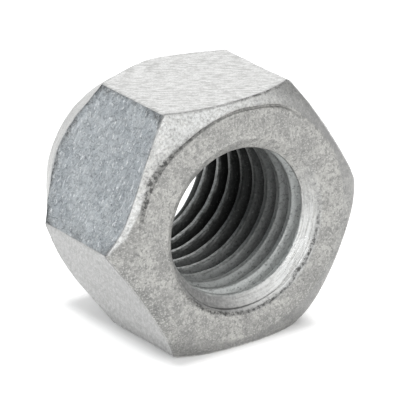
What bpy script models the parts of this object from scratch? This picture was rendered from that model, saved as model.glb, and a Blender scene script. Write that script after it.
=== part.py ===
"""Hex nut, M20 x 2.5, in one piece of galvanised steel.

The thread axis is Y and the nut stands on one flat. The end at -Y is the flat
bearing end. The end at +Y is turned down to a 60 degree seat cone. The origin
is on the thread axis at half height. Sizes below are in millimetres and
degrees; the mesh is in metres.
"""
import math

import bpy

MM = 0.001

ACROSS_FLATS = 30.0
HEIGHT = 24.0
CORNER_RADIUS = 0.8

BEARING_INSET = 1.2
BEARING_CHAMFER = 23.0
BEARING_CORNER_CHAMFER = 41.5

SEAT_LAND = 0.7
SEAT_CONE = 60.0
SEAT_CORNER_CHAMFER = 52.0

THREAD_DIAMETER = 20.0
THREAD_PITCH = 2.5
THREAD_FLANK = 30.0
ZINC_ALLOWANCE = 0.4
FIRST_CREST = 1.05

COUNTERSINK_HALF_ANGLE = 60.0
BEARING_SINK_LIP = 0.2
SEAT_SINK_LIP = 0.6

CUT_CLEARANCE = 2.0
BLANK_STEPS = 72
THREAD_STEPS = 40
CORNER_STEPS = 3

ZINC_COLOUR = (0.56, 0.57, 0.56, 1.0)
ZINC_ROUGHNESS = 0.5
ZINC_METALLIC = 0.85

ROOT_RADIUS = (THREAD_DIAMETER + ZINC_ALLOWANCE) / 2
SHARP_DEPTH = THREAD_PITCH / (2 * math.tan(math.radians(THREAD_FLANK)))
CREST_RADIUS = ROOT_RADIUS - SHARP_DEPTH * 5 / 8
BEARING_SINK_RADIUS = ROOT_RADIUS + BEARING_SINK_LIP
SEAT_SINK_RADIUS = ROOT_RADIUS + SEAT_SINK_LIP
FLAT_RADIUS = ACROSS_FLATS / 2
BEARING_RADIUS = FLAT_RADIUS - BEARING_INSET
SEAT_RADIUS = SEAT_SINK_RADIUS + SEAT_LAND
CORNER_REACH = FLAT_RADIUS / math.cos(math.pi / 6)
BEARING_FACE = -HEIGHT / 2
SEAT_FACE = HEIGHT / 2


def rise(run, angle):
    """Distance along the axis that a cone at this angle to its face gains over a radial run."""
    return run * math.tan(math.radians(angle))


def new_object(name, points, faces):
    """A mesh object from points in millimetres."""
    mesh = bpy.data.meshes.new(name)
    mesh.from_pydata([(x * MM, y * MM, z * MM) for x, y, z in points], [], faces)
    mesh.update()
    thing = bpy.data.objects.new(name, mesh)
    bpy.context.scene.collection.objects.link(thing)
    return thing


def hexagon_outline():
    """Points (x, z) around the hexagon, anticlockwise seen from -Y, with rounded corners."""
    reach = (FLAT_RADIUS - CORNER_RADIUS) / math.cos(math.pi / 6)
    outline = []
    for corner in range(6):
        middle = corner * math.pi / 3
        for step in range(CORNER_STEPS + 1):
            turn = middle + math.radians(60 * step / CORNER_STEPS - 30)
            x = reach * math.cos(middle) + CORNER_RADIUS * math.cos(turn)
            z = reach * math.sin(middle) + CORNER_RADIUS * math.sin(turn)
            outline.append((x, z))
    return outline


def hexagon_bar(name, low, high):
    """A length of hexagon bar from low to high along Y."""
    outline = hexagon_outline()
    count = len(outline)
    points = [(x, low, z) for x, z in outline] + [(x, high, z) for x, z in outline]
    faces = [tuple(range(count)), tuple(range(2 * count - 1, count - 1, -1))]
    for i in range(count):
        after = (i + 1) % count
        faces.append((after, i, i + count, after + count))
    return new_object(name, points, faces)


def turned(name, profile, steps):
    """A solid of revolution about Y. The profile is (y, radius) from low y to high y, ends on the axis."""
    points = [(0, profile[0][0], 0)]
    for y, radius in profile[1:-1]:
        for step in range(steps):
            turn = 2 * math.pi * step / steps
            points.append((radius * math.cos(turn), y, radius * math.sin(turn)))
    points.append((0, profile[-1][0], 0))
    faces = []
    rings = len(profile) - 2
    last = len(points) - 1
    for step in range(steps):
        after = (step + 1) % steps
        faces.append((0, 1 + step, 1 + after))
        for ring in range(rings - 1):
            here = 1 + ring * steps
            beyond = here + steps
            faces.append((here + step, beyond + step, beyond + after, here + after))
        end = 1 + (rings - 1) * steps
        faces.append((last, end + after, end + step))
    return new_object(name, points, faces)


def blank_outline():
    """Profile of the turned blank that cuts the hexagon bar's corners back at both ends."""
    past = CORNER_REACH + CUT_CLEARANCE
    bearing_flats = BEARING_FACE + rise(FLAT_RADIUS - BEARING_RADIUS, BEARING_CHAMFER)
    seat_flats = SEAT_FACE - rise(FLAT_RADIUS - SEAT_RADIUS, SEAT_CONE)
    return [
        (BEARING_FACE, 0),
        (BEARING_FACE, BEARING_RADIUS),
        (bearing_flats, FLAT_RADIUS),
        (bearing_flats + rise(past - FLAT_RADIUS, BEARING_CORNER_CHAMFER), past),
        (seat_flats - rise(past - FLAT_RADIUS, SEAT_CORNER_CHAMFER), past),
        (seat_flats, FLAT_RADIUS),
        (SEAT_FACE, SEAT_RADIUS),
        (SEAT_FACE, 0),
    ]


def countersink_outline(radius):
    """Profile of a cone that opens the bore at the bearing end, from past the face to its tip."""
    slope = 90 - COUNTERSINK_HALF_ANGLE
    past = CUT_CLEARANCE
    return [
        (BEARING_FACE - past, 0),
        (BEARING_FACE - past, radius + past / math.tan(math.radians(slope))),
        (BEARING_FACE + rise(radius, slope), 0),
    ]


def thread_cutter(name):
    """A right-hand threaded rod, longer than the nut, whose crests are the nut's thread roots.

    Each point of the thread form runs along a helix. The form's last point meets the first
    point of the next turn, and a fan of faces around the axis closes each end.
    """
    crest_flat = THREAD_PITCH / 4
    root_flat = THREAD_PITCH / 8
    flank = (THREAD_PITCH - crest_flat - root_flat) / 2
    form = [
        (-crest_flat / 2, CREST_RADIUS),
        (crest_flat / 2, CREST_RADIUS),
        (crest_flat / 2 + flank, ROOT_RADIUS),
        (crest_flat / 2 + flank + root_flat, ROOT_RADIUS),
    ]
    turns = math.ceil((HEIGHT + 2 * CUT_CLEARANCE) / THREAD_PITCH) + 3
    first = BEARING_FACE + FIRST_CREST - 2 * THREAD_PITCH
    size = len(form)
    steps = turns * THREAD_STEPS
    points = []
    for step in range(steps + 1):
        turn = -2 * math.pi * step / THREAD_STEPS
        ahead = THREAD_PITCH * step / THREAD_STEPS
        for offset, radius in form:
            points.append((radius * math.cos(turn), first + ahead + offset, radius * math.sin(turn)))
    faces = []
    for step in range(steps):
        here = step * size
        for i in range(size - 1):
            faces.append((here + i, here + size + i, here + size + i + 1, here + i + 1))
        if step < steps - THREAD_STEPS:
            next_turn = here + THREAD_STEPS * size
            faces.append((here + size - 1, here + 2 * size - 1, next_turn + size, next_turn))
    start_rim = [step * size for step in range(THREAD_STEPS + 1)]
    start_rim += list(range(size - 1, 0, -1))
    back = (steps - THREAD_STEPS) * size
    end_rim = [back + step * size + size - 1 for step in range(THREAD_STEPS + 1)]
    end_rim += [back + THREAD_STEPS * size + size - 2 - i for i in range(size - 1)]
    for rim, middle, order in ((start_rim, 0.5, -1), (end_rim, turns - 0.5, 1)):
        centre = len(points)
        points.append((0, first + THREAD_PITCH * middle, 0))
        for i, corner in enumerate(rim):
            after = rim[(i + 1) % len(rim)]
            faces.append((centre, corner, after)[::order])
    return new_object(name, points, faces)


def cut(body, tool, operation):
    """Join a Boolean to the body, and keep its tool out of the model."""
    tool.hide_render = True
    tool.display_type = 'WIRE'
    boolean = body.modifiers.new(tool.name, 'BOOLEAN')
    boolean.operation = operation
    boolean.solver = 'EXACT'
    boolean.object = tool


def zinc():
    """Dull grey zinc."""
    material = bpy.data.materials.new('galvanised_zinc')
    material.use_nodes = True
    shader = material.node_tree.nodes['Principled BSDF']
    shader.inputs['Base Color'].default_value = ZINC_COLOUR
    shader.inputs['Roughness'].default_value = ZINC_ROUGHNESS
    shader.inputs['Metallic'].default_value = ZINC_METALLIC
    return material


def build():
    for thing in list(bpy.data.objects):
        bpy.data.objects.remove(thing)
    nut = hexagon_bar('hex_nut', BEARING_FACE - CUT_CLEARANCE, SEAT_FACE + CUT_CLEARANCE)
    nut.data.materials.append(zinc())
    cut(nut, turned('turned_blank', blank_outline(), BLANK_STEPS), 'INTERSECT')
    cut(nut, thread_cutter('thread_tap'), 'DIFFERENCE')
    bearing_side = countersink_outline(BEARING_SINK_RADIUS)
    seat_side = [(-y, radius) for y, radius in reversed(countersink_outline(SEAT_SINK_RADIUS))]
    cut(nut, turned('bearing_countersink', bearing_side, BLANK_STEPS), 'DIFFERENCE')
    cut(nut, turned('seat_countersink', seat_side, BLANK_STEPS), 'DIFFERENCE')


build()
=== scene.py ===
import itertools
import math
from types import SimpleNamespace

import bpy
import numpy as np
from mathutils import Matrix, Vector


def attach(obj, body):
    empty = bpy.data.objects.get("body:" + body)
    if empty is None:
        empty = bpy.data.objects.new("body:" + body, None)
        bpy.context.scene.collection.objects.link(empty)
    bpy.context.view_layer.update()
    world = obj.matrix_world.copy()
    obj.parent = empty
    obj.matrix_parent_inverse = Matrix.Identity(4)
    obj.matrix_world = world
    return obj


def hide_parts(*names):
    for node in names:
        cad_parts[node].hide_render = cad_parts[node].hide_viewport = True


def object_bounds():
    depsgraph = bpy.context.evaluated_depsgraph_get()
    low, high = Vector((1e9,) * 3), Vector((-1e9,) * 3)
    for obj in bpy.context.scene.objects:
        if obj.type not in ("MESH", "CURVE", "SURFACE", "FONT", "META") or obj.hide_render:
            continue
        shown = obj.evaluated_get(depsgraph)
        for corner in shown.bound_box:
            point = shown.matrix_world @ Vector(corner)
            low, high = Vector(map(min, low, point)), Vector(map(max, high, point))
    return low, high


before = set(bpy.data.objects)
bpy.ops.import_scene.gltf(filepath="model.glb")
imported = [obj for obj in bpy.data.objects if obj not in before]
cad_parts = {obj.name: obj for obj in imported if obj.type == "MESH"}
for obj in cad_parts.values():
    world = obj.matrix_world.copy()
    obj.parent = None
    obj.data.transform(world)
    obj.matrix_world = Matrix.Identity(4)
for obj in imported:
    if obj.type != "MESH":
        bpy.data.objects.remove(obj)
cad_low, cad_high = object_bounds()

# Sizes are in millimetres and degrees. The thread axis is Y, and the bearing end is at -Y.
# Angles round the axis run from +X towards +Z.
MM = 0.001
FLAT = (cad_high.z - cad_low.z) / 2 / MM
HALF_HEIGHT = (cad_high.y - cad_low.y) / 2 / MM
CORNER_ROUND = 0.9

BEARING_RADIUS = 13.8
BEARING_SLOPE = 23.0
SHOULDER_CURVE = 0.198
GROOVE_DEPTH = 0.25
GROOVE_WIDTH = 0.11
GROOVE_ANGLE = 96.0

SEAT_RADIUS = 11.5
SEAT_SLOPE = 60.0
SEAT_CURVE = 0.195

PITCH = 2.5
FLANK_ANGLE = 30.0
ROOT_RADIUS = 10.2
CREST_RADIUS = 8.85
CREST_FLAT = 0.55
FIRST_CREST = 1.05

SINK_RADIUS = 10.4
SINK_SPREAD = math.tan(math.radians(60))
SINK_ASIDE = 0.25
SINK_ASIDE_ANGLE = 323.0
SINK_ROLL = 0.9
SEAT_SINK_RADIUS = 10.8
RIM_STEP = 0.07

STRUCK_ANGLE = 150.0
STRUCK_BACK = 1.38
STRUCK_LEAN = 0.13
STRUCK_SLOPE = 1.5
STRUCK_STEEPER = 0.15
HOLLOW_DEPTH = 0.14
HOLLOW_ANGLE = 143.0

LUMP_CELL = 1.0
SWELL_CELL = 4.1
SWELL = 0.05
SKIN_LOSS = 0.06

OUTER_COLUMNS = 460
COLUMN_CROWDING = 0.6
RING_ROWS = 17
LIP_ROWS = 11
LIP_REACH = 0.3
SHOULDER_ROWS = 14
FLAT_ROWS = 50
SEAT_ROWS = 22
SEAT_RING_ROWS = 5
BORE_ROWS = 176
MOUTH_ROWS = 14
MOUTH_DEPTH = 0.7

# Flats are numbered anticlockwise from 0 at the upper right, seen from the bearing end.
TOP_FLAT = 1
BLUE_FLAT = 2
LOWER_LEFT_FLAT = 3


def smooth_noise(points, cell, seed):
    """Noise from -1 to 1 at each point. Random values sit on a cubic lattice of this cell size,
    and are blended along each axis by the curve 3t^2 - 2t^3."""
    side = 32
    lattice = np.random.default_rng(seed).uniform(-1, 1, (side, side, side))
    place = points / cell + side / 2
    corner = np.floor(place).astype(int)
    part = place - corner
    part = part * part * (3 - 2 * part)
    total = np.zeros(points.shape[:-1])
    for offset in itertools.product((0, 1), repeat=3):
        weight = np.prod(np.where(offset, part, 1 - part), axis=-1)
        i, j, k = np.moveaxis((corner + offset) % side, -1, 0)
        total += weight * lattice[i, j, k]
    return total


def ragged_edge(grid):
    """How far the edge of a mark wanders at each point: fine and coarse noise in equal parts."""
    return 0.35 * smooth_noise(grid, 0.7, 5) + 0.35 * smooth_noise(grid, 1.9, 6)


def ease(value, low, high):
    """Eases from 0 at low to 1 at high by the curve 3t^2 - 2t^3, and holds beyond both. Low may be
    the larger of the two."""
    t = np.clip((value - low) / (high - low), 0, 1)
    return t * t * (3 - 2 * t)


def ridge(value, middle, width):
    """1 at the middle value, dying away on both sides as exp(-((value - middle) / width)^2)."""
    return np.exp(-((value - middle) / width) ** 2)


def angle_gap(angle, middle):
    """Degrees between two angles, the short way round."""
    return np.abs((angle - middle + 180) % 360 - 180)


def near(angle, middle, reach):
    """1 at the middle angle and easing to 0 at this reach on both sides, in degrees round the axis."""
    return 1 - ease(angle_gap(angle, middle), 0, reach)


def column_angles(count):
    """Angles round the axis in radians. Each sixth runs from corner to corner, and its columns
    crowd towards the corners by taking t - COLUMN_CROWDING sin(2 pi t) / 2 pi instead of t."""
    t = np.arange(count) * 6 / count
    sector = np.floor(t + 1e-9)
    part = t - sector
    return (sector + part - COLUMN_CROWDING * np.sin(2 * np.pi * part) / (2 * np.pi)) * np.pi / 3


def hexagon_radius(angle):
    """Distance from the axis to a hexagon with rounded corners. On a flat it is FLAT / cos(turn
    from the flat's middle). In a corner it is the far crossing with the rounding circle."""
    turn = (angle + np.pi / 6) % (np.pi / 3) - np.pi / 6
    centre = (FLAT - CORNER_ROUND) / math.cos(np.pi / 6)
    flat = FLAT / np.cos(np.pi / 6 - np.abs(turn))
    inside = np.clip(CORNER_ROUND ** 2 - (centre * np.sin(turn)) ** 2, 0, None)
    round_part = centre * np.cos(turn) + np.sqrt(inside)
    tangent = np.pi / 6 - math.atan((FLAT - CORNER_ROUND) * math.tan(np.pi / 6) / FLAT)
    return np.where(np.abs(turn) < tangent, round_part, flat)


def either(a, b, soft):
    """The larger of two surfaces, with a rounded join this wide: (a + b + sqrt((a - b)^2 + soft^2)) / 2."""
    return 0.5 * (a + b + np.sqrt((a - b) ** 2 + soft ** 2))


def lip_radius(degrees):
    """Radius of the bearing ring's edge. It wanders in and out a little."""
    wander = 0.12 * near(degrees, 144, 16) - 0.22 * near(degrees, 113, 30) + 0.45 * near(degrees, 62, 22)
    return BEARING_RADIUS + 0.03 + wander + 0.2 * near(degrees, 25, 30)


def lip_weight(degrees):
    """How deep the groove round the bearing ring is: 1 over the top left, fading to nothing."""
    return 1 - ease(angle_gap(degrees, GROOVE_ANGLE), 26, 44)


def sink_radius(degrees):
    """Radius of the countersink's edge at the bearing end. The drill ran a little to one side, and
    the edge is worn wider along the bottom."""
    aside = SINK_ASIDE * np.cos(np.radians(degrees - SINK_ASIDE_ANGLE))
    return SINK_RADIUS + aside + 0.2 * near(degrees, 265, 65)


def sink_edge_shade(radius, degrees, ragged):
    """Painted shade in a ragged dark line along the countersink's edge, round the bottom from one side to
    the other."""
    line = np.clip(1.7 * ridge(radius, sink_radius(degrees) + 0.25 * ragged, 0.2), 0, 1)
    return line * np.clip(1.8 * near(degrees, 285, 110), 0, 1)


def sink_drop(degrees):
    """How far the face has rolled back at the countersink's edge."""
    return 0.05 + 0.16 * near(degrees, 5, 70)


def struck(radius, degrees, unstruck):
    """The shoulder over the upper left flat, pushed back by a blow. The blow left a plane facet
    that leans along the flat and is steeper towards the top."""
    turn = np.radians(degrees - STRUCK_ANGLE)
    out = radius * np.cos(turn)
    along = radius * np.sin(turn)
    steep = STRUCK_SLOPE + STRUCK_STEEPER * np.clip(-along - 1, 0, 8)
    facet = STRUCK_BACK - STRUCK_LEAN * along - steep * (FLAT - out)
    window = ease(degrees, 118, 124) * (1 - ease(degrees, 174, 182))
    return unstruck + (either(facet, unstruck, 0.45) - unstruck) * window


def bearing_end(radius, angle):
    """Height along Y of the bearing end at this radius. A flat ring that rolls back at the
    countersink, a thin groove at the ring's edge, then a slope that steepens with the square of
    the distance past the flats. A struck facet and a hollow lie over the upper left flat."""
    degrees = np.degrees(angle) % 360
    lip = lip_radius(degrees)
    groove = GROOVE_DEPTH * lip_weight(degrees) * ridge(radius, lip, GROOVE_WIDTH)
    across = ease(radius, lip - 0.1, lip + 0.35) * (1 - ease(radius, lip + 0.4, lip + 1.1))
    hollow = HOLLOW_DEPTH * near(degrees, HOLLOW_ANGLE, 26) * across
    past = np.clip(radius - BEARING_RADIUS, 0, None)
    slope = past * math.tan(math.radians(BEARING_SLOPE))
    curve = SHOULDER_CURVE * np.clip(radius - FLAT, 0, None) ** 2
    back = struck(radius, degrees, slope + curve + hollow)
    rolled = np.clip(1 - (radius - sink_radius(degrees)) / SINK_ROLL, 0, 1) ** 2
    return -HALF_HEIGHT + groove + back + sink_drop(degrees) * rolled


def seat_end(radius):
    """Height along Y of the seat end at this radius. A flat ring, then a steep cone that eases
    off with the square of the distance past the flats."""
    past = np.clip(radius - SEAT_RADIUS, 0, None)
    slope = past * math.tan(math.radians(SEAT_SLOPE))
    curve = SEAT_CURVE * np.clip(radius - FLAT, 0, None) ** 2
    return HALF_HEIGHT - slope + curve


def outer_grid():
    """The outside as rows of points, from the bearing end's bore rim, out over the face and
    shoulder, along the flats, and down the seat cone to the other rim. Each row holds one point
    for every column angle."""
    angle = column_angles(OUTER_COLUMNS)
    hexagon = hexagon_radius(angle)
    one = np.ones_like(angle)
    rows = []
    lip = lip_radius(np.degrees(angle))
    rim = sink_radius(np.degrees(angle))
    for step in (2 * RIM_STEP, RIM_STEP):
        rows.append((rim - step, bearing_end(rim, angle) + step / SINK_SPREAD))
    for share in np.linspace(0, 1, RING_ROWS)[:-1] ** 1.6:
        radius = rim + (lip - LIP_REACH - rim) * share
        rows.append((radius, bearing_end(radius, angle)))
    for step in np.linspace(-LIP_REACH, LIP_REACH, LIP_ROWS):
        rows.append((lip + step, bearing_end(lip + step, angle)))
    for share in np.linspace(0, 1, SHOULDER_ROWS)[1:]:
        radius = lip + LIP_REACH + (hexagon - lip - LIP_REACH) * share
        rows.append((radius, bearing_end(radius, angle)))
    front = bearing_end(hexagon, angle)
    back = seat_end(hexagon)
    for share in (1 - np.cos(np.linspace(0, np.pi, FLAT_ROWS)[1:-1])) / 2:
        rows.append((hexagon, front + (back - front) * share))
    for share in np.linspace(0, 1, SEAT_ROWS):
        radius = hexagon + (SEAT_RADIUS - hexagon) * share
        rows.append((radius, seat_end(radius)))
    for radius in np.linspace(SEAT_RADIUS, SEAT_SINK_RADIUS, SEAT_RING_ROWS)[1:]:
        rows.append((radius * one, HALF_HEIGHT * one))
    for step in (RIM_STEP, 2 * RIM_STEP):
        rows.append(((SEAT_SINK_RADIUS - step) * one, (HALF_HEIGHT - step / SINK_SPREAD) * one))
    radius = np.array([r for r, _ in rows])
    along = np.array([y for _, y in rows])
    return np.stack([radius * np.cos(angle), along, radius * np.sin(angle)], axis=-1)


def thread_radius(along, angle):
    """Radius of the bore wall. The crest follows a right-hand helix, so its place along Y falls by
    one pitch a turn; a straight flank runs from crest to root, softened by the curve 3t^2 - 2t^3.
    The countersink cones cut it back at both ends."""
    degrees = np.degrees(angle)
    phase = (along + HALF_HEIGHT - FIRST_CREST) / PITCH + angle / (2 * np.pi)
    gap = np.abs(phase - np.round(phase)) * PITCH
    flank = (ROOT_RADIUS - CREST_RADIUS) * math.tan(math.radians(FLANK_ANGLE))
    height = np.clip((CREST_FLAT / 2 + flank - gap) / flank, 0, 1)
    height = 0.8 * height + 0.2 * ease(height, 0, 1)
    thread = ROOT_RADIUS + (CREST_RADIUS - ROOT_RADIUS) * height
    near_cone = sink_radius(degrees) - (along + HALF_HEIGHT - sink_drop(degrees)) * SINK_SPREAD
    far_cone = SEAT_SINK_RADIUS - (HALF_HEIGHT - along) * SINK_SPREAD
    return either(thread, np.maximum(near_cone, far_cone), 0.06)


def bore_grid():
    """The bore as rows of points, from the seat end to the bearing end, with half the outside's
    columns. Rows crowd in the countersink, and the last one follows its rolled edge."""
    angle = column_angles(OUTER_COLUMNS)[::2]
    seat = HALF_HEIGHT - 2 * RIM_STEP
    bearing = -HALF_HEIGHT + sink_drop(np.degrees(angle)) + 2 * RIM_STEP
    mouth = MOUTH_DEPTH / (seat - bearing.mean())
    inner = np.linspace(0, 1 - mouth, BORE_ROWS)
    crowded = np.linspace(1 - mouth, 1, MOUTH_ROWS)[1:]
    share = np.concatenate([inner, crowded])[:, None]
    along = seat + (bearing - seat) * share
    radius = thread_radius(along, angle)
    return np.stack([radius * np.cos(angle), along, radius * np.sin(angle)], axis=-1)


def grid_faces(rows, columns, first):
    """Quads of a grid that is closed round the axis. Point numbers start at first."""
    i = np.arange(rows - 1)[:, None] * columns
    j = np.arange(columns)[None, :]
    after = (j + 1) % columns
    quads = np.stack([i + j, i + columns + j, i + columns + after, i + after], -1)
    return quads.reshape(-1, 4) + first


def seam_faces(fine, coarse, flip):
    """Triangles between a fine ring and a coarse ring with half its points: three for each coarse
    step. Both are arrays of point numbers, and flip turns the triangles over."""
    fine_next = np.roll(fine, -1)
    a, b, c = fine[::2], fine_next[::2], np.roll(fine[::2], -1)
    d, e = coarse, np.roll(coarse, -1)
    triangles = np.concatenate([np.stack([a, d, b], -1), np.stack([b, d, e], -1), np.stack([b, e, c], -1)])
    return triangles[:, ::-1] if flip else triangles


def grid_normals(grid):
    """Unit normals of a grid that is closed round the axis: the cross product of the differences
    between neighbours along its rows and columns."""
    down = np.gradient(grid, axis=0)
    across = np.roll(grid, -1, axis=1) - np.roll(grid, 1, axis=1)
    normal = np.cross(down, across)
    return normal / np.maximum(np.linalg.norm(normal, axis=-1, keepdims=True), 1e-12)


def outer_places(grid):
    """Where each point of the outside lies. Out and along are its distance from the axis and from
    the middle of the nearest flat, measured square to that flat and along it. On_flat is 1 on the
    flats, and front is 1 on the bearing end and its shoulder."""
    x, y, z = np.moveaxis(grid, -1, 0)
    angle = np.degrees(np.arctan2(z, x)) % 360
    number = np.floor(angle / 60)
    turn = np.radians(number * 60 + 30)
    out = x * np.cos(turn) + z * np.sin(turn)
    along = -x * np.sin(turn) + z * np.cos(turn)
    hexagon = hexagon_radius(np.radians(angle))
    past_front = y - bearing_end(hexagon, np.radians(angle))
    square = ease(out, FLAT - np.where(y > 0, 0.9, 0.25), FLAT - 0.1)
    on_flat = square * ease(past_front, -0.15, -0.02)
    return SimpleNamespace(
        y=y, z=z, radius=np.hypot(x, z), angle=angle, number=number, out=out, along=along,
        hexagon=hexagon, past_front=past_front, before_back=seat_end(hexagon) - y,
        on_flat=on_flat, front=ease(-y, 0, 2) * (1 - on_flat), lip=lip_radius(angle),
        ragged=ragged_edge(grid))


def outer_shade_and_darkening(at):
    """Painted shade on the outside: in the groove and the hollow beside the bearing ring, at the
    countersink's edge, and along the top flat's front edge. The blue flat is also darker along its
    side and rear edges."""
    groove = ridge(at.radius, at.lip, 0.12) * lip_weight(at.angle) * (0.3 + 0.7 * ease(at.angle, 92, 118))
    beside = 1.4 * (1 - ease(at.radius, at.lip + 0.15, at.lip + 0.65))
    beside = beside + 0.35 * (1 - ease(at.radius, at.lip + 0.4, at.lip + 1.2))
    hollow = near(at.angle, 142, 38) * ease(at.radius, at.lip - 0.15, at.lip + 0.02) * beside
    hollow = np.clip(hollow + 0.5 * at.ragged * (hollow > 0.05), 0, 1)
    sink = sink_edge_shade(at.radius, at.angle, at.ragged)
    # Painted shade in the groove, in the hollow beside the ring, and at the countersink's edge.
    darkened = np.maximum.reduce([groove, hollow, sink]) * at.front
    # Painted shade under the top flat's front edge.
    under_top = ridge(at.past_front, 0, 0.22) * ease(at.out, FLAT - 0.35, FLAT - 0.15)
    under_top = under_top * (at.number == TOP_FLAT) * (0.5 + 0.5 * near(at.angle, 74, 30))
    blue_edge = ease(2 * at.ragged - at.along, 7.7, 8.6) + 0.6 * ease(2 * at.ragged + at.along, 7.8, 8.8)
    blue_edge = blue_edge + 0.9 * (1 - ease(at.before_back + 2 * at.ragged, 0.0, 1.3))
    on_blue = at.on_flat * (at.number == BLUE_FLAT)
    return np.maximum.reduce([darkened, under_top, 0.8 * on_blue * np.clip(blue_edge, 0, 1)])


def outer_painted_highlight(at):
    """Painted highlights on the outside, where the finish is also smoother: the ring beside the
    countersink at the lower right, the shoulder at the top, the front edge of the blue flat, and the
    seat end."""
    rim = sink_radius(at.angle)
    ring = (1 - ease(at.radius, rim + 0.1, rim + 0.5)) * near(at.angle, 322, 80) * at.front
    shoulder = 0.9 * near(at.angle, 104, 62) * ease(at.radius, at.lip + 0.1, at.lip + 0.5) * at.front
    width = 0.9 - 0.55 * ease(at.along, 4, 8.5)
    edge = ease(at.out + 0.3 * at.ragged, FLAT - width, FLAT - width + 0.2)
    edge = edge * (at.number == BLUE_FLAT) * at.front * (0.45 + 0.42 * ease(at.along, -2, 3))
    seat = 0.5 * ease(at.y, 0, 2) * (1 - at.on_flat)
    return np.maximum.reduce([ring, shoulder, edge, seat])


def outer_painted_shade(at):
    """Painted shade on the outside: the shoulder at the upper right and at the bottom, the lower
    left flat, and the front's bottom edge."""
    sides = 1.5 * near(at.angle, 32, 52) + 0.9 * near(at.angle, 290, 75)
    shoulder = ease(at.radius, at.lip - 0.05, at.lip + 0.3) * at.front * sides
    lower_left = at.on_flat * (at.number == LOWER_LEFT_FLAT) * (1.05 - 0.2 * ease(-at.z, 4, 15))
    bottom = ease(at.radius, at.hexagon - 0.6, at.hexagon) * near(at.angle, 270, 45)
    return np.maximum(shoulder, lower_left) + 0.7 * bottom * at.front


def outer_grain(at, grid):
    """Places to read streaks from. On a flat the place is squeezed along the marks of the die, which
    lean 40 degrees except on the blue flat. Elsewhere it is the plain place."""
    lean = np.where(at.number == BLUE_FLAT, 0, math.radians(40))
    u = at.along * np.cos(lean) + at.y * np.sin(lean)
    v = -at.along * np.sin(lean) + at.y * np.cos(lean)
    squeezed = np.stack([u * np.where(at.number == BLUE_FLAT, 0.45, 0.25), v, at.number], -1)
    return np.where(at.on_flat[..., None] > 0.5, squeezed, grid)


def outer_marks(grid):
    """Values for the outside's finish, with its painted light and shade, at every point, and its grain.
    Blue and drawn lie on their flats, and pitted lies along the edges at the lower left. Three more hold
    painted shade in creases and hollows with darker edges on the blue flat, painted highlights, and
    painted shade on the shoulders, the lower left flat and the bottom edge; the bore's marks are 0 here."""
    at = outer_places(grid)
    blue = at.on_flat * (at.number == BLUE_FLAT)
    border = ease(at.out, FLAT - 2.4, FLAT - 0.3) * near(at.angle, 210, 42) * at.front
    zero = np.zeros_like(at.radius)
    marks = {
        "blue": blue,
        "drawn": at.on_flat * (at.number != BLUE_FLAT),
        # Painted shade in creases and hollows, and darker edges on the blue flat.
        "crease": outer_shade_and_darkening(at),
        "pitted": np.maximum(0.8 * border, 0.5 * blue * ease(at.along + 2 * at.ragged, 6.4, 8.4)),
        # Painted highlights, where the finish is also smoother.
        "shine": outer_painted_highlight(at),
        # Painted shade.
        "dull": outer_painted_shade(at),
        "crest": zero,
        "bore": zero,
        "daylight": zero,
    }
    return marks, outer_grain(at, grid)


def bore_marks(grid):
    """Values for the bore's finish, with its painted light and shade, at every point, and its grain. Bore
    is 1 on the tapped wall, and the countersink is zinc with painted shade at its edge and lower left
    and a painted highlight at its lower right. Crest marks the top of the thread, lighter partly as
    painted highlight, and is weak on the right side and near the mouth. Daylight is 1 at the mouth and
    dies away inwards as exp(-depth / reach), reaching further along the bottom, with a little at the
    seat end; it paints light and shade into the wall's colour. The grain is stretched round the axis."""
    x, y, z = np.moveaxis(grid, -1, 0)
    radius, angle = np.hypot(x, z), np.degrees(np.arctan2(z, x)) % 360
    depth = y + HALF_HEIGHT
    cone = sink_radius(angle) - (depth - sink_drop(angle)) * SINK_SPREAD
    first = FIRST_CREST + PITCH * np.where(angle > 120, 1 - angle / 360, -angle / 360)
    tapped = ease(radius - cone, 0.02, 0.12) * ease(depth, first - 0.40, first - 0.25)
    # The crests' painted highlight is taken away on the right side, less so deep in.
    right_side = near(angle, 345, 110) * (1 - 0.5 * ease(depth, 14, 20))
    crest = ease(radius, CREST_RADIUS + 0.16, CREST_RADIUS + 0.04) * (1 - 0.97 * right_side)
    reach = 3.9 + 2.5 * near(angle, 262, 70)
    # Painted shade at the countersink's edge, and darker at its lower left.
    darkened = np.maximum(0.4 * near(angle, 235, 60), sink_edge_shade(radius, angle, ragged_edge(grid)))
    zero = np.zeros_like(radius)
    marks = {
        "blue": zero,
        "drawn": zero,
        "crease": darkened * (1 - tapped),
        "pitted": zero,
        # Painted highlight on the countersink at the lower right, and painted shade at its lower left.
        "shine": (1 - tapped) * near(angle, 322, 80),
        "dull": 1.5 * (1 - tapped) * near(angle, 240, 75),
        "crest": crest * (0.35 + 0.65 * ease(depth, 4, 12)),
        "bore": tapped,
        "daylight": np.exp(-depth / reach) + 0.7 * np.exp(-(2 * HALF_HEIGHT - depth) / 1.2),
    }
    return marks, np.stack([np.radians(angle), 2.5 * depth, radius], -1)


def lumpy(grid, marks):
    """The outside with the coating's lumps: each point moves along its normal by two sizes of noise,
    less a small even loss. The fine one is stronger on the blue flat and where it is pitted. The
    rows at both rims stay where they are, and nothing passes the nut's box."""
    peel = 0.03 + 0.04 * marks["blue"] + 0.05 * marks["pitted"]
    lumps = peel * smooth_noise(grid, LUMP_CELL, 3) + SWELL * smooth_noise(grid, SWELL_CELL, 4) - SKIN_LOSS
    row = np.arange(len(grid))
    settled = ease(np.minimum(row, row[::-1]), 1, 6)[:, None, None]
    grid = grid + grid_normals(grid) * lumps[..., None] * settled
    return np.clip(grid, np.array(cad_low) / MM, np.array(cad_high) / MM)


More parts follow.
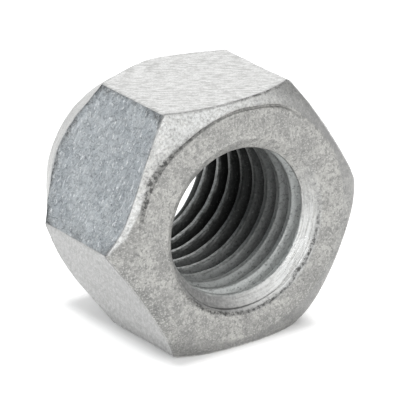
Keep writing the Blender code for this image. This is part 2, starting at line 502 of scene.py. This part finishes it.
def nut():
    """The whole nut as one closed surface: the outside, the bore, and a seam at each rim."""
    outer = outer_grid()
    bore = bore_grid()
    marks, grain = outer_marks(outer)
    bore_mark, bore_grain = bore_marks(bore)
    outer = lumpy(outer, marks)
    rows, columns, _ = outer.shape
    bore_rows, bore_columns, _ = bore.shape
    first_bore = rows * columns
    points = np.concatenate([outer.reshape(-1, 3), bore.reshape(-1, 3)]) * MM
    quads = np.concatenate([grid_faces(rows, columns, 0), grid_faces(bore_rows, bore_columns, first_bore)])
    ring = np.arange(columns)
    bore_ring = np.arange(bore_columns)
    bore_end = first_bore + (bore_rows - 1) * bore_columns
    seams = np.concatenate([
        seam_faces((rows - 1) * columns + ring, first_bore + bore_ring, False),
        seam_faces(ring, bore_end + bore_ring, True),
    ])
    mesh = bpy.data.meshes.new("zinc_nut")
    mesh.from_pydata(points, [], quads.tolist() + seams.tolist())
    for name, values in marks.items():
        layer = mesh.attributes.new(name, "FLOAT", "POINT")
        layer.data.foreach_set("value", np.concatenate([values.ravel(), bore_mark[name].ravel()]))
    layer = mesh.attributes.new("grain", "FLOAT_VECTOR", "POINT")
    layer.data.foreach_set("vector", np.concatenate([grain.ravel(), bore_grain.ravel()]))
    mesh.shade_smooth()
    mesh.update()
    piece = bpy.data.objects.new("zinc_nut", mesh)
    bpy.context.scene.collection.objects.link(piece)
    return piece


def link(tree, value, socket):
    """Feed a socket from another socket, or set it to a plain value."""
    if isinstance(value, bpy.types.NodeSocket):
        tree.links.new(value, socket)
    else:
        socket.default_value = value


def add(tree, kind, inputs=(), **settings):
    """A node of this kind, with its settings and inputs filled in by name or number."""
    node = tree.nodes.new("ShaderNode" + kind)
    for name, value in settings.items():
        setattr(node, name, value)
    for name, value in dict(inputs).items():
        link(tree, value, node.inputs[name])
    return node


def maths(tree, operation, a, b=0.0, clamp=False):
    """One step of arithmetic on two numbers."""
    return add(tree, "Math", {0: a, 1: b}, operation=operation, use_clamp=clamp).outputs[0]


def times(tree, a, b):
    """Two numbers multiplied."""
    return maths(tree, "MULTIPLY", a, b)


def plus(tree, a, b):
    """Two numbers added."""
    return maths(tree, "ADD", a, b)


def vector_maths(tree, operation, a, b=(0, 0, 0)):
    """A node for one step of arithmetic on two vectors. Its result may be a vector or a number."""
    return add(tree, "VectorMath", {0: a, 1: b}, operation=operation)


def mix_colour(tree, share, a, b):
    """Colour a turned into colour b by this share."""
    mix = add(tree, "Mix", {0: share, 6: a, 7: b}, data_type="RGBA", clamp_factor=True)
    return mix.outputs[2]


def mix_value(tree, share, a, b):
    """Number a turned into number b by this share."""
    mix = add(tree, "Mix", {0: share, 2: a, 3: b}, data_type="FLOAT", clamp_factor=True)
    return mix.outputs[0]


def spread(tree, value, low, high, out_low=0.0, out_high=1.0):
    """The value stretched so that low becomes out_low and high becomes out_high, and held there."""
    inputs = {"Value": value, "From Min": low, "From Max": high, "To Min": out_low, "To Max": out_high}
    return add(tree, "MapRange", inputs, interpolation_type="SMOOTHSTEP").outputs["Result"]


def noise(tree, place, per_mm, detail, rough):
    """Soft noise with this many cells to the millimetre."""
    inputs = {"Vector": place, "Scale": per_mm, "Detail": detail, "Roughness": rough}
    return add(tree, "TexNoise", inputs, noise_type="FBM").outputs["Fac"]


def layered(tree, colour, layers):
    """Colours laid over one another. Each layer is a pattern, the two pattern values between which
    it changes, its share at each of them, and its colour."""
    for pattern, low, high, share_low, share_high, over in layers:
        share = spread(tree, pattern, low, high, share_low, share_high)
        colour = mix_colour(tree, share, colour, over)
    return colour


def worn(tree, colour, layers):
    """Colours laid over one another where a mark is. Each layer is a mark, then as in layered."""
    for mark, pattern, low, high, share_low, share_high, over in layers:
        share = times(tree, mark, spread(tree, pattern, low, high, share_low, share_high))
        colour = mix_colour(tree, share, colour, over)
    return colour


ZINC_SHADE = (0.275, 0.274, 0.265, 1)
ZINC_LIGHT = (0.41, 0.406, 0.388, 1)
ZINC_BLOTCH = (0.235, 0.235, 0.228, 1)
ZINC_SPECK = (0.18, 0.18, 0.176, 1)
ZINC_GRAIN = (0.66, 0.655, 0.63, 1)
DRAWN_SHADE = (0.48, 0.48, 0.47, 1)
DRAWN_LIGHT = (0.58, 0.58, 0.57, 1)
DRAWN_STREAK = (0.78, 0.78, 0.775, 1)
DRAWN_PORE = (0.36, 0.36, 0.355, 1)
BLUE_SHADE = (0.405, 0.435, 0.46, 1)
BLUE_LIGHT = (0.51, 0.54, 0.56, 1)
BLUE_BLOTCH = (0.26, 0.285, 0.31, 1)
BLUE_SPECK = (0.18, 0.20, 0.22, 1)
# Painted glints on the blue flat.
BLUE_GLINT = (0.88, 0.90, 0.91, 1)
# Painted shade.
PAINTED_SHADE = (0.25, 0.25, 0.25, 1)
PIT = (0.16, 0.165, 0.16, 1)
# Painted highlight.
PAINTED_HIGHLIGHT = (0.72, 0.73, 0.73, 1)
# Painted shade in creases and hollows, and darker edges.
SHADE_AND_DARKENING = (0.07, 0.07, 0.068, 1)
# The bore wall in painted shade deep in and in painted light at the mouth, its grit, and its glints,
# painted likewise.
WALL_SHADED = (0.003, 0.0034, 0.0032, 1)
WALL_LIT = (0.80, 0.83, 0.82, 1)
WALL_GRIT = (0.012, 0.0125, 0.012, 1)
GLINT_SHADED = (0.08, 0.084, 0.08, 1)
GLINT_LIT = (0.85, 0.88, 0.86, 1)
CREST_DULL = (0.34, 0.35, 0.34, 1)
CREST_BRIGHT = (0.85, 0.87, 0.86, 1)
# The specular tint, full and dimmed as painted shade.
FULL_TINT = (1, 1, 1, 1)
SHADED_TINT = (0.08, 0.08, 0.08, 1)

RELIEF = 0.00014
BLUE_RELIEF = 0.0011
WORN_RELIEF = 0.00025
ZINC_METAL = 0.85
CREST_METAL = 0.2


def zinc_patterns(tree):
    """The patterns that the finish is mixed from, on places in millimetres, from coarse to fine.
    Streak and fleck follow the grain."""
    place = add(tree, "TexCoord").outputs["Object"]
    place = add(tree, "Mapping", {"Vector": place, "Scale": (1 / MM, 1 / MM, 1 / MM)}).outputs["Vector"]
    grain = add(tree, "Attribute", attribute_name="grain").outputs["Vector"]
    return SimpleNamespace(
        mottle=spread(tree, noise(tree, place, 0.4, 6, 0.65), 0.36, 0.62),
        blotch=noise(tree, place, 1.0, 5, 0.68),
        lumps=noise(tree, place, 1.1, 4, 0.6),
        dents=noise(tree, place, 1.2, 3, 0.6),
        speckle=noise(tree, place, 2.6, 4, 0.7),
        grit=noise(tree, place, 3.6, 4, 0.75),
        sand=noise(tree, place, 5.0, 3, 0.6),
        fleck=noise(tree, grain, 1.4, 5, 0.7),
        streak=noise(tree, grain, 3.0, 4, 0.7),
    )


def outside_colour(tree, pattern, mark):
    """Mottled zinc, with smooth drawn flats and a bluish one with painted glints, and over them painted
    shade, pits, painted highlights, and painted shade in creases and hollows with darker edges."""
    zinc = layered(tree, mix_colour(tree, pattern.mottle, ZINC_SHADE, ZINC_LIGHT), (
        (pattern.blotch, 0.36, 0.52, 0.85, 0.0, ZINC_BLOTCH),
        (pattern.speckle, 0.32, 0.54, 0.9, 0.0, ZINC_SPECK),
        (pattern.sand, 0.50, 0.68, 0.0, 0.45, ZINC_GRAIN),
    ))
    drawn = layered(tree, mix_colour(tree, pattern.mottle, DRAWN_SHADE, DRAWN_LIGHT), (
        (pattern.streak, 0.42, 0.58, 0.0, 0.85, DRAWN_STREAK),
        (pattern.sand, 0.36, 0.52, 0.45, 0.0, DRAWN_PORE),
    ))
    blue = layered(tree, mix_colour(tree, pattern.mottle, BLUE_SHADE, BLUE_LIGHT), (
        (pattern.blotch, 0.34, 0.48, 0.35, 0.0, BLUE_BLOTCH),
        (pattern.speckle, 0.32, 0.46, 0.75, 0.0, BLUE_SPECK),
        (pattern.streak, 0.55, 0.64, 0.0, 0.8, BLUE_GLINT),
    ))
    colour = mix_colour(tree, mark.drawn, zinc, drawn)
    colour = mix_colour(tree, mark.blue, colour, blue)
    return worn(tree, colour, (
        (mark.dull, pattern.speckle, 0.36, 0.60, 0.68, 0.42, PAINTED_SHADE),
        (mark.pitted, pattern.sand, 0.46, 0.60, 0.7, 0.0, PIT),
        (mark.shine, pattern.streak, 0.36, 0.60, 0.2, 0.8, PAINTED_HIGHLIGHT),
        (mark.crease, pattern.speckle, 0.42, 0.58, 1.0, 0.45, SHADE_AND_DARKENING),
    ))


def bore_colour(tree, pattern, mark):
    """Bare steel in painted shade that deepens inwards from painted light at the mouth, with grit,
    painted glints and lighter thread crests that are partly painted highlight.
    """
    glint = mix_colour(tree, mark.daylight, GLINT_SHADED, GLINT_LIT)
    wall = layered(tree, mix_colour(tree, mark.daylight, WALL_SHADED, WALL_LIT), (
        (pattern.grit, 0.30, 0.50, 0.7, 0.0, WALL_GRIT),
        (pattern.grit, 0.58, 0.68, 0.0, 0.8, glint),
    ))
    edge = mix_colour(tree, spread(tree, pattern.speckle, 0.35, 0.65), CREST_DULL, CREST_BRIGHT)
    return mix_colour(tree, mark.crest, wall, edge)


def zinc_bump(tree, pattern, mark):
    """Bumps of the coating: lumps, speckle and sand everywhere, streaks on the drawn flats, and
    flecks and dents on the blue one, where they stand highest."""
    zinc = plus(tree, times(tree, pattern.lumps, 0.5), times(tree, pattern.speckle, 0.4))
    zinc = plus(tree, zinc, times(tree, pattern.sand, 0.2))
    zinc = plus(tree, zinc, times(tree, pattern.streak, times(tree, mark.drawn, 0.3)))
    dents = spread(tree, pattern.dents, 0.42, 0.52, 0.0, 0.8)
    blue = plus(tree, times(tree, pattern.fleck, 0.9), dents)
    blue = plus(tree, blue, times(tree, pattern.sand, 0.25))
    relief = plus(tree, times(tree, mark.blue, BLUE_RELIEF), RELIEF)
    relief = plus(tree, relief, times(tree, plus(tree, mark.pitted, mark.shine), WORN_RELIEF))
    height = mix_value(tree, mark.blue, zinc, blue)
    return add(tree, "Bump", {"Height": height, "Strength": 0.8, "Distance": relief}).outputs["Normal"]


def zinc_material():
    """Hot-dip zinc outside and bare steel in the bore. The places of painted highlight are smoother, and
    the deep bore's reflections are dimmed by a dark specular tint as painted shade."""
    material = bpy.data.materials.new("galvanised_zinc")
    material.use_nodes = True
    tree = material.node_tree
    names = ("blue", "drawn", "crease", "pitted", "shine", "dull", "crest", "bore", "daylight")
    mark = SimpleNamespace(**{
        name: add(tree, "Attribute", attribute_name=name).outputs["Fac"] for name in names})
    pattern = zinc_patterns(tree)
    outside = outside_colour(tree, pattern, mark)
    rough = mix_value(tree, mark.shine, mix_value(tree, pattern.speckle, 0.34, 0.52), 0.26)
    shade = maths(tree, "SUBTRACT", mark.bore, mark.crest)
    shade = maths(tree, "SUBTRACT", shade, mark.daylight, clamp=True)
    bare_crest = times(tree, mark.bore, mark.crest)
    sockets = {
        "Base Color": mix_colour(tree, mark.bore, outside, bore_colour(tree, pattern, mark)),
        "Roughness": rough,
        "Metallic": mix_value(tree, bare_crest, ZINC_METAL, CREST_METAL),
        "Specular Tint": mix_colour(tree, shade, FULL_TINT, SHADED_TINT),
        "Normal": zinc_bump(tree, pattern, mark),
    }
    shader = tree.nodes["Principled BSDF"]
    for name, value in sockets.items():
        link(tree, value, shader.inputs[name])
    return material


# The camera stands at this turn, height and distance from the middle of the nut.
VIEW_TURN = -32.48
VIEW_HEIGHT = 22.21
VIEW_ROLL = -2.78
VIEW_DISTANCE = 597.6
VIEW_ASIDE = 1.705
VIEW_UP = -0.659
LENS = 466.1
SENSOR_WIDTH = 36
CLIP_START = 0.01


def camera():
    """The camera looks straight along its own axis, a little beside the nut's middle, and is
    rolled about that axis."""
    turn, height, roll = (math.radians(a) for a in (VIEW_TURN, VIEW_HEIGHT, VIEW_ROLL))
    back = Vector((math.sin(turn) * math.cos(height), -math.cos(turn) * math.cos(height), math.sin(height)))
    right = (-back).cross(Vector((0, 0, 1))).normalized()
    up = back.cross(right)
    side = math.cos(roll) * right + math.sin(roll) * up
    above = -math.sin(roll) * right + math.cos(roll) * up
    place = (back * VIEW_DISTANCE + side * VIEW_ASIDE + above * VIEW_UP) * MM
    data = bpy.data.cameras.new("camera")
    data.lens = LENS
    data.sensor_width = SENSOR_WIDTH
    data.clip_start = CLIP_START
    view = bpy.data.objects.new("camera", data)
    view.matrix_world = Matrix.Translation(place) @ Matrix((side, above, back)).transposed().to_4x4()
    bpy.context.scene.collection.objects.link(view)
    bpy.context.scene.camera = view


# In metres: half the floor's width, half the size of the patch under the nut that doesn't glow,
# and the distances from that patch at which the glow starts and is full.
FLOOR_REACH = 3.0
UNDER_NUT = (0.0085, 0.0108, 1)
GLOW_START = 0.0002
GLOW_END = 0.003
GLOW = 0.4


def floor():
    """A wide white table top that the nut stands on. It glows a little, so that it stays white, but
    not under the nut or close beside it. The glow follows the distance from a patch there, which
    is the length of max(|place| - half size, 0)."""
    reach, z = FLOOR_REACH, cad_low.z
    corners = [(-reach, -reach, z), (reach, -reach, z), (reach, reach, z), (-reach, reach, z)]
    mesh = bpy.data.meshes.new("floor")
    mesh.from_pydata(corners, [], [(0, 1, 2, 3)])
    top = bpy.data.objects.new("floor", mesh)
    material = bpy.data.materials.new("floor")
    material.use_nodes = True
    tree = material.node_tree
    shader = tree.nodes["Principled BSDF"]
    shader.inputs["Base Color"].default_value = (0.9, 0.9, 0.9, 1)
    shader.inputs["Roughness"].default_value = 0.9
    shader.inputs["Specular IOR Level"].default_value = 0.0
    shader.inputs["Emission Color"].default_value = (1, 1, 1, 1)
    place = add(tree, "TexCoord").outputs["Object"]
    gap = vector_maths(tree, "ABSOLUTE", place).outputs["Vector"]
    gap = vector_maths(tree, "SUBTRACT", gap, UNDER_NUT).outputs["Vector"]
    gap = vector_maths(tree, "MAXIMUM", gap).outputs["Vector"]
    gap = vector_maths(tree, "LENGTH", gap).outputs["Value"]
    link(tree, spread(tree, gap, GLOW_START, GLOW_END, 0.0, GLOW), shader.inputs["Emission Strength"])
    mesh.materials.append(material)
    bpy.context.scene.collection.objects.link(top)


# The light tent's even grey, and its patches: each has a direction, a tightness and the light
# that it adds, or takes away where it is negative.
SURROUND = (0.72, 0.72, 0.72)
LIGHT_PATCHES = (
    ((0.49, 0.78, 0.38), 10, (0.9, 0.9, 0.9)),
    ((-0.23, -0.42, 0.88), 6, (0.75, 0.75, 0.75)),
    ((0.44, -0.84, 0.3), 6, (0.8, 0.8, 0.79)),
    ((0.13, -0.95, 0.26), 16, (0.4, 0.4, 0.4)),
    ((-0.57, 0.78, 0.24), 8, (-0.25, -0.2, -0.17)),
    ((0.93, 0.07, 0.37), 8, (-0.25, -0.25, -0.25)),
    ((-0.29, -0.93, 0.22), 12, (0.3, 0.3, 0.3)),
)
BACKDROP = 1.1

SOFTBOX_DIRECTION = (-0.85, -0.4, 0.45)
SOFTBOX_DISTANCE = 0.5
SOFTBOX_SIZE = 0.2
SOFTBOX_POWER = 0.6


def softbox():
    """A square area light at the left that faces the nut."""
    data = bpy.data.lights.new("left", "AREA")
    data.size = SOFTBOX_SIZE
    data.energy = SOFTBOX_POWER
    light = bpy.data.objects.new("left", data)
    out = Vector(SOFTBOX_DIRECTION).normalized()
    light.location = out * SOFTBOX_DISTANCE
    light.rotation_euler = out.to_track_quat("Z", "Y").to_euler()
    bpy.context.scene.collection.objects.link(light)


def studio():
    """Soft studio light. The surround is an even grey with brighter and darker patches, each a
    round lobe about its own direction, as white and grey cards round a light tent would give. The
    camera sees a plain white backdrop instead."""
    world = bpy.data.worlds.new("studio")
    world.use_nodes = True
    tree = world.node_tree
    ground = tree.nodes["Background"]
    place = add(tree, "TexCoord").outputs["Generated"]
    total = SURROUND
    for direction, tightness, colour in LIGHT_PATCHES:
        aim = tuple(Vector(direction).normalized())
        facing = vector_maths(tree, "DOT_PRODUCT", place, aim).outputs["Value"]
        lobe = maths(tree, "POWER", maths(tree, "MAXIMUM", facing, 0.0), tightness)
        tint = add(tree, "VectorMath", {0: colour, "Scale": lobe}, operation="SCALE").outputs["Vector"]
        total = vector_maths(tree, "ADD", total, tint).outputs["Vector"]
    link(tree, total, ground.inputs["Color"])
    backdrop = add(tree, "Background", {"Color": (1, 1, 1, 1), "Strength": BACKDROP})
    seen = add(tree, "LightPath").outputs["Is Camera Ray"]
    mixed = add(tree, "MixShader", {0: seen, 1: ground.outputs[0], 2: backdrop.outputs[0]})
    tree.links.new(mixed.outputs[0], tree.nodes["World Output"].inputs["Surface"])
    bpy.context.scene.world = world
    bpy.context.scene.view_settings.view_transform = "Standard"


piece = nut()
piece.data.materials.append(zinc_material())
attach(piece, "root")
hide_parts("hex_nut")
camera()
floor()
studio()
softbox()
